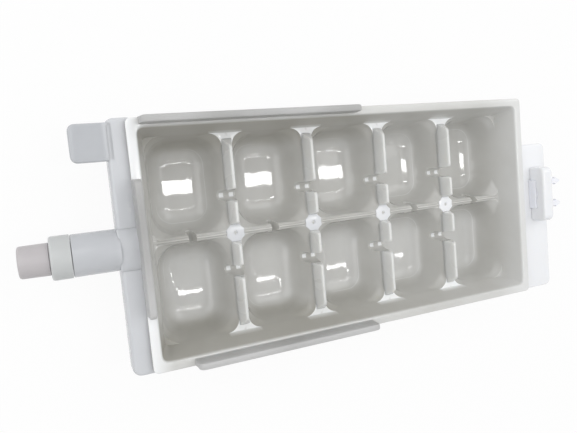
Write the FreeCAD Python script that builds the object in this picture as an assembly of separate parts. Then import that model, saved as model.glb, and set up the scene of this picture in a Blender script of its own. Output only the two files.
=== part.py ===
import FreeCAD, Part
import math
import os

# Twist-to-release ice tray for a refrigerator ice maker: two rows of five cells in one
# translucent moulding, carried at the front on a stepped axle and turned at the rear
# through a square hub.  The ejector drive turns the hub until a tab at the front meets
# its stop, and the tray then twists and drops the cubes.
#
# Frame: the origin lies on the pivot axis at the shoulder of the front journal, +X runs
# along the pivot toward the drive end, +Z is up when the tray is level.  Millimetres.

V = FreeCAD.Vector
X, Y, Z = V(1, 0, 0), V(0, 1, 0), V(0, 0, 1)

# ---------------------------------------------------------------- front axle, along +X
journal_r = 6.0         # free end of the pin, runs in the frame's bearing
journal_len = 10.4      # from the shoulder to the free end
journal_edge = 1.2      # chamfer of the free end
neck_r = 5.1            # pin inside the bush
shank_r = 4.6           # pin inside the moulded sleeve
shank_len = 15.0        # pressed length inside the sleeve
bush_r = 8.1            # outside of the turning bush
bush_len = 7.5
bush_edge = 1.2         # chamfer of the front edge of the bush
sleeve_r = 7.8          # outside of the sleeve moulded on the tray
sleeve_len = 16.1
run_clear = 0.08        # radial running clearance, bush on pin
end_clear = 0.15        # axial play at each end of the bush

# ---------------------------------------------------------------- cells
cols = 5
pitch = 36.0            # column spacing along X
flat_drop = 3.0         # pivot axis down to the flats between the cell mouths
half_mouth_y = 41.5     # centre line to the side wall, at the flats
div_half_x = 2.25       # half thickness of a cross divider at the flats
div_half_y = 0.75       # half thickness of the long divider at the flats
cell_depth = 16.7       # flats to the cell floor
cup_draft = 12.0        # degrees, all four walls
cup_round = 8.5         # radius of the upright corners and of the turn into the floor
mouth_lead = 3.2        # depth of the lead-in that squares the corners at the flats
mouth_lead_draft = 45.0
mouth_corner = 3.2      # corner radius of the lead-in
wall = 1.5
web = 1.6               # skin that joins the cups at the level of the flats

# ---------------------------------------------------------------- dividers and water ways
crest_h = 5.4           # crest of a cross divider above the flats
crest_w = 1.1           # thickness at the crest
fin_step = 0.12         # ledge between the fin foot and the cell mouth, per side
crest_edge = 0.25
fin_wall_gap = 2.4      # flat left between the fin's foot and the side wall
fin_end_slope = 3.0     # run of the slanted end face from crest to flat
fin_star_gap = 4.0      # the fin's foot from the centre line
star_end_slope = 0.5
star_r = 4.2            # octagonal post at each crossing
star_rise = 0.3         # its top above the flats
star_depth = 5.0
long_rise = 0.5         # crest of the long divider above the flats
long_edge = 0.4         # bevel of that crest
way_drop = 8.8          # floor of a water way below the flats
way_y = 15.8            # cross-divider ways, from the centre line
way_w = 3.6             # width at the floor
way_flare = 0.7         # widening per side at the crest
way_lip_r = 1.6         # rounded shoulders at the crest
long_way_w = 2.6        # ways through the long divider
long_way_lip = 1.0      # bevelled shoulders at its crest
long_way_cols = (0, 1, 3, 4)

# ---------------------------------------------------------------- rim and splash guards
rim_h = 10.85           # rim top above the flats
rim_flare = 3.2         # outward lean of the walls from flats to rim
rim_corner = 5.0        # inside corner between the leaning walls
rim_outer_corner = 3.2  # outside corner, almost square
rim_w = 3.6
rim_t = 2.4
rim_edge = 0.8          # chamfer along both top edges
guard_h = 7.65          # splash guards above the rim
guard_t = 2.2
guard_corner_r = 3.0
guard_left = (-90.0, 1.0)      # along X from the tray's centre, on the +Y side
guard_right = (-77.0, 0.5)     # on the -Y side
guard_front_half = 25.8        # across the front end

# ---------------------------------------------------------------- front plate and stop tab
plate_len = 7.2         # rim to the plate's front edge
plate_half_w = 48.8
plate_drop = 2.85       # plate top below the rim top
plate_t = 1.9
skirt_h = 7.0           # down-turned edge
plate_edge = 1.2        # chamfer round the top
plate_corner_r = 3.5
plate_rib_y = (17.0, 33.0)
rib_t = 1.4
crown_half_w = 8.0      # low crown over the sleeve
crown_rise = 2.3
tab_len = 12.6          # stop tab in front of the plate
tab_y = (33.2, 47.3)
tab_t = 2.6
tab_drop = 0.6          # tab top below the plate's top
tab_corner_r = 2.5

# ---------------------------------------------------------------- rear flange and drive hub
flange_len = 17.6       # rim to the flange's rear edge
flange_y = (-48.3, 25.4)
flange_drop = 2.85      # flange top below the rim top
flange_t = 1.9
flange_lip_h = 4.0
flange_corner_r = 3.0
flange_edge = 0.7
hub_at = 6.9            # rim to the hub's inner face
hub_t = 6.2
hub_half = 13.5         # square hub, half across
hub_corner_r = 3.0
hub_rib_t = 1.6
socket_r = 9.0          # round bore of the hub that seats the insert
insert_clear = 0.05
insert_lip_half = 7.0   # insert's flange on the inner face: half width
insert_lip_t = 1.0
insert_lip_top = 8.75   # above the pivot axis
drive_r = 4.2           # drive shaft socket
drive_flat = 3.0        # its flat, from the axis
socket_floor = 1.2
claw_y = 5.7
claw_w = 2.6
claw_t = 1.7
claw_z = 7.6            # claw centre above the pivot axis
claw_reach = 10.6        # beyond the hub's outer face
claw_head_w = 3.8
claw_head_len = 3.4
claw_clear = 0.1

# ---------------------------------------------------------------- temperature sensor, underside
sensor_col = 3          # cross divider, counted from the front, that it lies under
sensor_r = 2.5
sensor_len = 15.5
sensor_y = 29.2         # its centre from the centre line
sensor_clear = 0.1      # capsule to the walls of the valley, and to its groove in the pad
pad_below = 1.2         # pad top below the capsule's axis
cover_t = 1.6
cover_half_w = 4.6
cover_top_drop = 14.8   # cover top below the flats
cover_corner_r = 2.0
stud_r = 1.5
stud_gap = 23.0         # spacing of the two cover studs
stud_head_r = 2.4
stud_head_t = 0.9
stud_clear = 0.1
lead_notch_r = 1.6

# ---------------------------------------------------------------- levels and stations
z_flat = -flat_drop
z_floor = z_flat - cell_depth
z_rim = z_flat + rim_h
z_plate = z_rim - plate_drop
x_sleeve = bush_len
x_plate = x_sleeve + sleeve_len
x_rim0 = x_plate + plate_len
half_in_x = cols * pitch / 2 - div_half_x          # end wall at the flats
half_rim_x = half_in_x + rim_flare + rim_w
half_rim_y = half_mouth_y + rim_flare + rim_w
cx = x_rim0 + half_rim_x                           # centre of the cell block
x_rim1 = cx + half_rim_x
x_hub = x_rim1 + hub_at


def box(x0, x1, y0, y1, z0, z1):
    return Part.makeBox(x1 - x0, y1 - y0, z1 - z0, V(x0, y0, z0))


def cyl_x(r, x0, x1, y=0.0, z=0.0):
    return Part.makeCylinder(r, x1 - x0, V(x0, y, z), X)


def fuse(shapes):
    return shapes[0].fuse(shapes[1:]).removeSplitter() if len(shapes) > 1 else shapes[0]


def rounded_rect(x0, x1, y0, y1, r, z):
    """Closed wire of four sides and four quarter arcs, at height z."""
    k = r * (1 - math.sqrt(0.5))
    a, b, c, d = V(x0 + r, y0, z), V(x1 - r, y0, z), V(x1, y0 + r, z), V(x1, y1 - r, z)
    e, f, g, h = V(x1 - r, y1, z), V(x0 + r, y1, z), V(x0, y1 - r, z), V(x0, y0 + r, z)
    edges = [Part.makeLine(a, b),
             Part.Arc(b, V(x1 - k, y0 + k, z), c).toShape(),
             Part.makeLine(c, d),
             Part.Arc(d, V(x1 - k, y1 - k, z), e).toShape(),
             Part.makeLine(e, f),
             Part.Arc(f, V(x0 + k, y1 - k, z), g).toShape(),
             Part.makeLine(g, h),
             Part.Arc(h, V(x0 + k, y0 + k, z), a).toShape()]
    return Part.Wire(edges)


def prism(points, direction):
    face = Part.Face(Part.makePolygon(points + points[:1]))
    return face.extrude(direction)


def plate(x0, x1, y0, y1, r, z0, z1):
    return Part.Face(rounded_rect(x0, x1, y0, y1, r, z0)).extrude(V(0, 0, z1 - z0))


def edges_where(shape, test):
    return [e for e in shape.Edges if test(e)]


def level(edge, z):
    return all(abs(v.Z - z) < 1e-4 for v in edge.Vertexes)


# ================================================================ cells
def slope(angle):
    return math.tan(math.radians(angle))


def two_prisms(xs_low, xs_top, ys_low, ys_top, z_low, z_top):
    """Prisms along Y and along X whose common part is a box with four drafted walls."""
    ya, yb = min(ys_low[0], ys_top[0]), max(ys_low[1], ys_top[1])
    xa, xb = min(xs_low[0], xs_top[0]), max(xs_low[1], xs_top[1])
    across = prism([V(xs_low[0], ya, z_low), V(xs_low[1], ya, z_low), V(xs_top[1], ya, z_top),
                    V(xs_top[0], ya, z_top)], V(0, yb - ya, 0))
    along = prism([V(xa, ys_low[0], z_low), V(xa, ys_low[1], z_low), V(xa, ys_top[1], z_top),
                   V(xa, ys_top[0], z_top)], V(xb - xa, 0, 0))
    return across, along


def pocket_prisms(x0, x1, y0, y1, z0, depth, angle):
    k = depth * slope(angle)
    return two_prisms((x0 + k, x1 - k), (x0, x1), (y0 + k, y1 - k), (y0, y1), z0 - depth, z0)


def tapered(x0, x1, y0, y1, z0, depth, angle, radius, bevelled=False):
    """Drafted pocket below z0: plane walls and floor, upright corners rounded.

    A bevelled corner is the single flat that touches the same arc at its middle.
    """
    across, along = pocket_prisms(x0, x1, y0, y1, z0, depth, angle)
    body = across.common(along).Solids[0]
    upright = edges_where(body, lambda e: not level(e, z0) and not level(e, z0 - depth))
    if bevelled:
        return body.makeChamfer(radius * (2 - math.sqrt(2)), upright)
    return body.makeFillet(radius, upright)


def turned_floor(x0, x1, y0, y1, z0, depth, angle, radius, bevelled):
    """Common part of two crossing prisms whose floors turn up round the given radius.

    A bevelled turn is the single flat that touches the same arc at its middle.
    """
    across, along = pocket_prisms(x0, x1, y0, y1, z0, depth, angle)
    z1 = z0 - depth

    def low_sides(shape, axis):
        low = edges_where(shape, lambda e: level(e, z1))
        return [e for e in low if abs(e.tangentAt(e.FirstParameter).dot(axis)) > 0.9]
    turn = 90 - angle
    bevel = radius * (slope(turn / 2) - slope(turn / 4))

    def turned(shape, edges):
        return shape.makeChamfer(bevel, edges) if bevelled else shape.makeFillet(radius, edges)
    return turned(across, low_sides(across, Y)).common(turned(along, low_sides(along, X))).Solids[0]


def cell_span(col, side):
    """Mouth rectangle of one cell at the flats."""
    xc = col_centre(col)
    hx = pitch / 2 - div_half_x
    ya, yb = (div_half_y, half_mouth_y) if side > 0 else (-half_mouth_y, -div_half_y)
    return xc - hx, xc + hx, ya, yb


def cup_form(x0, x1, y0, y1, depth, radius, bevelled):
    """Cup below the flats: upright rounded corners, floor turned by two crossing prisms."""
    span, size = (x0, x1, y0, y1), (z_flat, depth, cup_draft, radius)
    return tapered(*span, *size, bevelled).common(turned_floor(*span, *size, bevelled)).Solids[0]


def cup_inside(col, side):
    span = cell_span(col, side)
    lead = tapered(*span, z_flat, mouth_lead, mouth_lead_draft, mouth_corner)
    return cup_form(*span, cell_depth, cup_round, False).fuse(lead)


def cup_outside(col, side):
    """The same form grown by the wall, with bevelled corners and floor edges."""
    x0, x1, y0, y1 = cell_span(col, side)
    g = wall / math.cos(math.radians(cup_draft))
    return cup_form(x0 - g, x1 + g, y0 - g, y1 + g, cell_depth + wall, cup_round + wall, True)


def block(grow, z0, z1):
    """Space above the flats between leaning walls, up to the rim; grown for the outside."""
    def out(z):
        return grow + rim_flare * (z - z_flat) / rim_h
    ax, ay = half_in_x + out(z1), half_mouth_y + out(z1)
    angle = math.degrees(math.atan(rim_flare / rim_h))
    return tapered(cx - ax, cx + ax, -ay, ay, z1, z1 - z0, angle, rim_corner + grow)


def rim_ring():
    """Outer solid of the rim with its outer chamfer; the hollow is cut later."""
    ring = plate(cx - half_rim_x, cx + half_rim_x, -half_rim_y, half_rim_y, rim_outer_corner,
                 z_rim - rim_t, z_rim)
    return ring.makeChamfer(rim_edge, edges_where(ring, lambda e: level(e, z_rim)))


def rim_bevel():
    """Bevel that breaks the rim's inner edge."""
    lean = rim_flare / rim_h
    ax, ay = half_in_x + rim_flare + rim_edge, half_mouth_y + rim_flare + rim_edge
    return tapered(cx - ax, cx + ax, -ay, ay, z_rim, rim_edge, math.degrees(math.atan(1 + lean)),
                   rim_corner)


def guard_prism(x0, x1, y0):
    """Upright guard along X: rounded upper corners, square foot in the rim."""
    z0, z1, r = z_rim - rim_t / 2, z_rim + guard_h, guard_corner_r
    k = r * (1 - math.sqrt(0.5))
    wire = Part.Wire([Part.makeLine(V(x0, y0, z0), V(x1, y0, z0)),
                      Part.makeLine(V(x1, y0, z0), V(x1, y0, z1 - r)),
                      Part.Arc(V(x1, y0, z1 - r), V(x1 - k, y0, z1 - k), V(x1 - r, y0, z1)).toShape(),
                      Part.makeLine(V(x1 - r, y0, z1), V(x0 + r, y0, z1)),
                      Part.Arc(V(x0 + r, y0, z1), V(x0 + k, y0, z1 - k), V(x0, y0, z1 - r)).toShape(),
                      Part.makeLine(V(x0, y0, z1 - r), V(x0, y0, z0))])
    return Part.Face(wire).extrude(V(0, guard_t, 0))


def guards():
    left = guard_prism(cx + guard_left[0], cx + guard_left[1], half_rim_y - guard_t)
    right = guard_prism(cx + guard_right[0], cx + guard_right[1], -half_rim_y)
    front = guard_prism(-guard_front_half, guard_front_half, 0)
    front.rotate(V(0, 0, 0), Z, 90)
    front.translate(V(cx - half_rim_x + guard_t, 0, 0))
    return [left, right, front]


# ================================================================ dividers and water ways
def fin(xc, side):
    """Cross divider above the flats: tapered blade with slanted ends and a rounded crest."""
    sink = web / 2 / crest_h
    foot_half = div_half_x - fin_step
    h0 = foot_half + (foot_half - crest_w / 2) * sink
    y0 = fin_star_gap - star_end_slope * sink
    y1 = half_mouth_y - fin_wall_gap + fin_end_slope * sink
    foot, crest = z_flat - web / 2, z_flat + crest_h
    y2, y3 = fin_star_gap + star_end_slope, half_mouth_y - fin_wall_gap - fin_end_slope
    if side < 0:
        y0, y1, y2, y3 = -y1, -y0, -y3, -y2
    h1 = crest_w / 2
    across, along = two_prisms((xc - h0, xc + h0), (xc - h1, xc + h1), (y0, y1), (y2, y3), foot, crest)
    blade = across.common(along).Solids[0]
    top = edges_where(blade, lambda e: level(e, crest) and e.Length > 2 * crest_w)
    return blade.makeChamfer(crest_edge, top)


def long_crest():
    """Low bevelled crest along the long divider."""
    x0, r, e = cx - half_in_x, div_half_y, long_edge
    foot, top = z_flat - web, z_flat + long_rise
    half = [(r, foot), (r, top - e), (r - e, top)]
    profile = half + [(-y, z) for y, z in reversed(half)]
    return [prism([V(x0, y, z) for y, z in profile], V(2 * half_in_x, 0, 0))]


def star(xc):
    """Octagonal post where a cross divider meets the long one."""
    pts = [V(xc + star_r * math.cos(math.radians(22.5 + 45 * i)),
             star_r * math.sin(math.radians(22.5 + 45 * i)), z_flat - star_depth) for i in range(8)]
    return prism(pts, V(0, 0, star_depth + star_rise))


def way_cut(half_w, flare, lip, rounded, z_top, length):
    """Cutter of a water way, through X: flat floor, flared sides, shoulders at the crest."""
    x0, foot, over = -length / 2, z_flat - way_drop, z_top + crest_h
    h1, h2 = half_w + flare, half_w + flare + lip
    k = lip * (1 - math.sqrt(0.5))

    def p(y, z):
        return V(x0, y, z)

    def shoulder(s):
        a, b = p(s * h1, z_top - lip), p(s * h2, z_top)
        return Part.Arc(a, p(s * (h1 + k), z_top - k), b).toShape() if rounded else Part.makeLine(a, b)
    wire = Part.Wire([Part.makeLine(p(-half_w, foot), p(half_w, foot)),
                      Part.makeLine(p(half_w, foot), p(h1, z_top - lip)),
                      shoulder(1),
                      Part.makeLine(p(h2, z_top), p(h2, over)),
                      Part.makeLine(p(h2, over), p(-h2, over)),
                      Part.makeLine(p(-h2, over), p(-h2, z_top)),
                      shoulder(-1),
                      Part.makeLine(p(-h1, z_top - lip), p(-half_w, foot))])
    return Part.Face(wire).extrude(V(length, 0, 0))


def cross_stations():
    return [cx + (i + 1 - cols / 2) * pitch for i in range(cols - 1)]


def col_centre(col):
    return cx + (col - (cols - 1) / 2) * pitch


def ways():
    """All water ways as cutters, and the channel blocks that carry their walls."""
    gap_x = div_half_x + way_drop * slope(cup_draft)
    gap_y = div_half_y + way_drop * slope(cup_draft)
    cuts, channels = [], []
    zf = z_flat - way_drop - wall
    for xc in cross_stations():
        for s in (-1, 1):
            cut = way_cut(way_w / 2, way_flare, way_lip_r, True, z_flat + crest_h, 2 * gap_x + 3)
            cut.translate(V(xc, s * way_y, 0))
            cuts.append(cut)
            h = way_w / 2 + way_flare + wall
            channels.append(box(xc - gap_x - 1, xc + gap_x + 1, s * way_y - h, s * way_y + h,
                                zf, z_flat - web / 2))
    for col in long_way_cols:
        xc = col_centre(col)
        cut = way_cut(long_way_w / 2, way_flare / 2, long_way_lip, False, z_flat + long_rise,
                      2 * gap_y + 3)
        cut.rotate(V(0, 0, 0), Z, 90)
        cut.translate(V(xc, 0, 0))
        cuts.append(cut)
        h = long_way_w / 2 + way_flare / 2 + wall
        channels.append(box(xc - h, xc + h, -gap_y - 1, gap_y + 1, zf, z_flat - web / 2))
    return cuts, channels


# ================================================================ ends of the tray
def skirted_plate(x0, x1, y0, y1, top, t, skirt, corner_r, open_side, edge):
    """Flat plate with a down-turned edge; the skirt is left out on the tray's side."""
    outer = plate(x0, x1, y0, y1, corner_r, top - skirt, top)
    outer = outer.makeChamfer(edge, edges_where(outer, lambda e: level(e, top)))
    xa, xb = (x0 + t, x1 + 50) if open_side > 0 else (x0 - 50, x1 - t)
    return outer.cut(box(xa, xb, y0 + t, y1 - t, top - skirt - 1, top - t))


def front_end():
    """Plate, crown, sleeve, ribs and stop tab at the front."""
    # the plate runs under the rim as far as the tray's end wall
    x1 = cx - half_in_x - rim_flare
    top = z_plate
    body = skirted_plate(x_plate, x1 + plate_corner_r, -plate_half_w, plate_half_w, top,
                         plate_t, skirt_h, plate_corner_r, 1, plate_edge)
    crown_r = (crown_half_w ** 2 + crown_rise ** 2) / (2 * crown_rise)
    crown = cyl_x(crown_r, x_plate, x1, 0, top + crown_rise - crown_r)
    crown = crown.common(box(x_plate, x1, -crown_half_w, crown_half_w, top - plate_t / 2, z_rim))
    pieces = [body, crown, cyl_x(sleeve_r, x_sleeve, x1)]
    for y in plate_rib_y:
        for s in (-1, 1):
            yc = s * y
            pieces.append(box(x_plate + plate_t / 2, x1, yc - rib_t / 2, yc + rib_t / 2,
                              top - skirt_h, top - plate_t / 2))
    tab = plate(x_plate - tab_len, x_plate + plate_t + tab_corner_r, tab_y[0], tab_y[1],
                tab_corner_r, top - tab_drop - tab_t, top - tab_drop)
    pieces.append(tab)
    return fuse(pieces)


def rear_end():
    """Rear flange and the square hub that stands through it on the pivot axis."""
    top = z_rim - flange_drop
    x0 = cx + half_in_x + rim_flare
    x1 = x_rim1 + flange_len
    flange = skirted_plate(x0 - flange_corner_r, x1, flange_y[0], flange_y[1], top, flange_t,
                           flange_lip_h, flange_corner_r, -1, flange_edge)
    gap = hub_half + flange_t
    flange = flange.cut(box(x1 - flange_t - 0.5, x1 + 1, -gap, gap, top - flange_lip_h - 1,
                            top - flange_t))
    hub = Part.Face(rounded_rect(-hub_half, hub_half, -hub_half, hub_half, hub_corner_r, 0))
    hub = hub.extrude(V(0, 0, hub_t))
    hub.rotate(V(0, 0, 0), Y, 90)
    hub.translate(V(x_hub, 0, 0))
    pieces = [flange, hub]
    # webs carry the hub back to the end wall, below the flange
    for s in (-1, 1):
        y = s * (hub_half - hub_rib_t / 2)
        pts = [V(x0 - 1.0, y - hub_rib_t / 2, top - flange_t / 2),
               V(x_hub + 1.0, y - hub_rib_t / 2, top - flange_t / 2),
               V(x_hub + 1.0, y - hub_rib_t / 2, -hub_half + hub_corner_r),
               V(x0 - 1.0, y - hub_rib_t / 2, z_flat + 1.0)]
        pieces.append(prism(pts, V(0, hub_rib_t, 0)))
    return fuse(pieces)


def hub_cuts():
    """Bore for the insert and the two passages for its claws."""
    bore = cyl_x(socket_r, x_hub - 1, x_hub + hub_t + 1)
    cuts = [bore]
    for s in (-1, 1):
        w, t = claw_w / 2 + claw_clear, claw_t / 2 + claw_clear
        cuts.append(box(x_hub - 1, x_hub + hub_t + 1, s * claw_y - w, s * claw_y + w,
                        claw_z - t, claw_z + t))
    return cuts


# ================================================================ sensor seat
def sensor_x():
    return cross_stations()[sensor_col - 1]


def valley_half(drop):
    """Half width of the valley between two cups, that far below the flats."""
    return div_half_x - wall / math.cos(math.radians(cup_draft)) + drop * slope(cup_draft)


def sensor_z():
    """Level at which the capsule lies against both walls of the valley, but for its clearance."""
    half = (sensor_r + sensor_clear) / math.cos(math.radians(cup_draft))
    return z_flat - (half - valley_half(0)) / slope(cup_draft)


def studs():
    """Two pegs under the cross divider, staked over the cover."""
    xs = sensor_x()
    foot = z_flat - cover_top_drop - cover_t - stud_head_t
    out = []
    for y, top in ((way_y, z_flat - way_drop - wall / 2), (way_y + stud_gap, z_flat - web / 2)):
        out.append(Part.makeCylinder(stud_r, top - foot, V(xs, y, foot)))
        out.append(Part.makeCylinder(stud_head_r, stud_head_t, V(xs, y, foot)))
    return out


# ================================================================ pieces
def ice_tray():
    outside = [block(wall, z_flat - web, z_rim - rim_t / 2), rim_ring()]
    outside += [cup_outside(c, s) for c in range(cols) for s in (-1, 1)]
    cuts, channels = ways()
    shell = fuse(outside + channels + [front_end(), rear_end()])
    hollow = block(0.0, z_flat, z_rim)
    shell = shell.cut([hollow, rim_bevel()] + [cup_inside(c, s) for c in range(cols) for s in (-1, 1)])
    adds = [fin(xc, s) for xc in cross_stations() for s in (-1, 1)]
    adds += [star(xc) for xc in cross_stations()] + long_crest() + guards() + studs()
    shell = shell.fuse(adds)
    bore = cyl_x(shank_r, x_sleeve - 1, x_sleeve + shank_len)
    shell = shell.cut(cuts + hub_cuts() + [bore])
    return shell.removeSplitter()


def axle_pin():
    """Stepped pin: chamfered journal, neck for the bush, shank in the sleeve."""
    x0, x1, x2 = -journal_len, bush_len, bush_len + shank_len
    path = [(x0, 0), (x0, journal_r - journal_edge), (x0 + journal_edge, journal_r), (0, journal_r),
            (0, neck_r), (x1, neck_r), (x1, shank_r), (x2, shank_r), (x2, 0)]
    pts = [V(x, r, 0) for x, r in path]
    return Part.Face(Part.makePolygon(pts + pts[:1])).revolve(V(0, 0, 0), X, 360)


def axle_bush():
    """Ring that turns on the pin between the journal's shoulder and the sleeve."""
    x0, x1 = end_clear, bush_len - end_clear
    ring = cyl_x(bush_r, x0, x1)
    front = edges_where(ring, lambda e: abs(e.BoundBox.XMax - x0) < 1e-4)
    ring = ring.makeChamfer(bush_edge, front)
    return ring.cut(cyl_x(neck_r + run_clear, x0 - 1, x1 + 1))


def drive_insert():
    """Hard insert in the hub: round seat, flange inside, D socket, two barbed claws."""
    x1 = x_hub + hub_t
    seat = cyl_x(socket_r - insert_clear, x_hub - insert_lip_t, x1)
    lip = box(x_hub - insert_lip_t, x_hub, -insert_lip_half, insert_lip_half,
              -insert_lip_top, insert_lip_top)
    body = seat.fuse(lip)
    claws = []
    for s in (-1, 1):
        yc = s * claw_y
        w, h = claw_w / 2, claw_head_w / 2
        xe = x1 + claw_reach
        pts = [(x_hub - insert_lip_t, -w), (xe - claw_head_len, -w), (xe - claw_head_len, -h),
               (xe - 0.4, -0.3), (xe - 0.4, 0.3), (xe - claw_head_len, h),
               (xe - claw_head_len, w), (x_hub - insert_lip_t, w)]
        claws.append(prism([V(px, yc + py, claw_z - claw_t / 2) for px, py in pts],
                           V(0, 0, claw_t)))
    body = body.fuse(claws).removeSplitter()
    socket = cyl_x(drive_r, x_hub - insert_lip_t + socket_floor, x1 + 1)
    keep = box(x_hub - 5, x1 + 2, -drive_r - 1, drive_r + 1, -drive_r - 1, drive_flat)
    return body.cut(socket.common(keep))


def sensor():
    """Sensor capsule: cylinder along Y in the valley between two cups, with chamfered ends."""
    body = Part.makeCylinder(sensor_r, sensor_len, V(sensor_x(), sensor_y - sensor_len / 2,
                                                    sensor_z()), Y)
    ends = edges_where(body, lambda e: e.BoundBox.YMax - e.BoundBox.YMin < 1e-4)
    return body.makeChamfer(sensor_r / 4, ends)


def sensor_pad():
    """Foam that presses the capsule up into the valley."""
    xs = sensor_x()
    top, bot = sensor_z() - pad_below, z_flat - cover_top_drop
    h0, h1 = (valley_half(z_flat - z) - sensor_clear for z in (bot, top))
    y0 = sensor_y - sensor_len / 2
    pts = [V(xs - h0, y0, bot), V(xs + h0, y0, bot), V(xs + h1, y0, top), V(xs - h1, y0, top)]
    groove = Part.makeCylinder(sensor_r + sensor_clear, sensor_len + 2, V(xs, y0 - 1, sensor_z()), Y)
    return prism(pts, V(0, sensor_len, 0)).cut(groove)


def sensor_cover():
    """Plate on the two studs; a notch at the centre-line end lets the lead out."""
    xs = sensor_x()
    z1 = z_flat - cover_top_drop
    z0 = z1 - cover_t
    y0, y1 = way_y, way_y + stud_gap
    end = stud_head_r + 1.2
    body = plate(xs - cover_half_w, xs + cover_half_w, y0 - end, y1 + end, cover_corner_r, z0, z1)
    holes = [Part.makeCylinder(stud_r + stud_clear, cover_t + 2, V(xs, y, z0 - 1)) for y in (y0, y1)]
    notch = Part.makeCylinder(lead_notch_r, cover_t + 2, V(xs + cover_half_w, (y0 + sensor_y) / 2, z0 - 1))
    return body.cut(holes + [notch])


parts = {
    "ice_tray": ice_tray,
    "axle_pin": axle_pin,
    "axle_bush": axle_bush,
    "drive_insert": drive_insert,
    "sensor": sensor,
    "sensor_pad": sensor_pad,
    "sensor_cover": sensor_cover,
}

os.makedirs("parts", exist_ok=True)
for name, make in parts.items():
    shape = make()
    solids = shape.Solids
    print(name, "solids", len(solids), "valid", shape.isValid(), "volume mm3", round(shape.Volume, 1),
          "faces", len(shape.Faces))
    if len(solids) == 1:
        shape = solids[0]
    shape.exportStep(os.path.join("parts", name + ".step"))
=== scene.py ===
# %% [markdown]
# # A twist tray of a refrigerator ice maker
# The tray is one milky moulding with two rows of five cups.  A stepped axle carries its
# front, a square hub takes the drive at its rear.  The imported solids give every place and
# size; this script dresses them with smooth surfaces and moulded-plastic finishes.

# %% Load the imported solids
from math import cos, pi, radians, tan

import bmesh
import bpy
import numpy as np
from mathutils import Matrix, Vector


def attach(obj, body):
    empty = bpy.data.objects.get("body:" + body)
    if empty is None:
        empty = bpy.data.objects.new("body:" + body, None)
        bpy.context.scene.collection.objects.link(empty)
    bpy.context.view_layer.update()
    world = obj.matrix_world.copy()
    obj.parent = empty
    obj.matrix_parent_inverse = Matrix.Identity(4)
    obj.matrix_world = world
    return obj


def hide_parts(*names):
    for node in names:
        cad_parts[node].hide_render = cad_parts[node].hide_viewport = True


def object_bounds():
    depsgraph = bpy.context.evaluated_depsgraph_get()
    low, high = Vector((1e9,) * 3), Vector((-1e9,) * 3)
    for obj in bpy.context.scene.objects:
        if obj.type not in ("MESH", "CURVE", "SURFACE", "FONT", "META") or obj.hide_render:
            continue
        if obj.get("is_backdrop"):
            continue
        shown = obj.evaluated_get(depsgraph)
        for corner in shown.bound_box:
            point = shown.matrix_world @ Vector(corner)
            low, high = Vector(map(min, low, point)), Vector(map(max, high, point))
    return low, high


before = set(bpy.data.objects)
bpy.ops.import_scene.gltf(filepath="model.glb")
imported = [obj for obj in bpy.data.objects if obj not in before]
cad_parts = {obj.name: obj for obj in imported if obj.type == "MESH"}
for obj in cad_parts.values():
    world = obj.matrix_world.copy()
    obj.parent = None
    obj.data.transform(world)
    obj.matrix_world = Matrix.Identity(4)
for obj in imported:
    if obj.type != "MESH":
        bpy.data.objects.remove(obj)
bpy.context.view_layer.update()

# %% [markdown]
# ## Sizes
# The moulding is drawn in millimetres from a handful of sizes, and turned into metres when
# a mesh is made.  The origin is on the pivot axis at the shoulder of the front journal, +X
# runs to the drive end and +Z is up.  Heights inside the cells are counted from the flats,
# the level ground between the cup mouths.

# %% Sizes of the moulding
mm = 0.001
cols, pitch = 5, 36.0
flats = -3.0                    # level of the flats, under the pivot axis
mouth_y = 41.5                  # side wall at the flats
div_x, div_y = 2.25, 0.75       # half thickness of the cross dividers and of the long one
depth, draft, turn = 16.7, radians(12), 8.5     # of a cup; turn is the radius at its floor
wall, web = 1.5, 1.6            # thickness of the cups and of the flats between them
rim_h, rim_lean, rim_w, rim_t = 10.85, 3.2, 3.6, 2.4    # height, outward lean, width, thickness
plate_front, plate_len, plate_step = 23.6, 7.2, 2.85    # the front plate lies a step below the rim
hub_gap = 6.9                   # from the rear rim to the hub
rim_top = flats + rim_h
end_x = cols * pitch / 2 - div_x            # end wall at the flats, from the block's middle
rim_x, rim_y = end_x + rim_lean + rim_w, mouth_y + rim_lean + rim_w
mid_x = plate_front + plate_len + rim_x     # the block's middle
plate_top = rim_top - plate_step
hub_in = mid_x + rim_x + hub_gap
print("block middle at", round(mid_x, 2), "rim half sizes", round(rim_x, 2), round(rim_y, 2))

# %% [markdown]
# ## Rings and skins
# Nearly every form of the moulding is a stack of closed outlines, like the layers between a
# mould's parting planes.  Boxes with a Bevel modifier would do for the plates, but not for
# cups whose corners widen with depth.  Stacked outlines do for both, and a skin that ends
# in a point or closes on itself has no open edge.

# %% Skins from stacked outlines


def new_piece(name, points, faces, smooth=40):
    """A mesh object from points in millimetres and lists of corner numbers; edges sharper
    than smooth degrees stay sharp."""
    mesh = bpy.data.meshes.new(name)
    mesh.from_pydata((np.asarray(points) * mm).tolist(), [], faces)
    work = bmesh.new()
    work.from_mesh(mesh)
    bmesh.ops.remove_doubles(work, verts=work.verts, dist=1e-6)
    bmesh.ops.dissolve_degenerate(work, edges=work.edges, dist=1e-7)
    bmesh.ops.recalc_face_normals(work, faces=work.faces)
    print(name, len(work.faces), "faces,", sum(e.is_boundary for e in work.edges), "open edges")
    work.to_mesh(mesh)
    work.free()
    mesh.shade_smooth()
    mesh.set_sharp_from_angle(angle=radians(smooth))
    piece = bpy.data.objects.new(name, mesh)
    bpy.context.scene.collection.objects.link(piece)
    return piece


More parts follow.
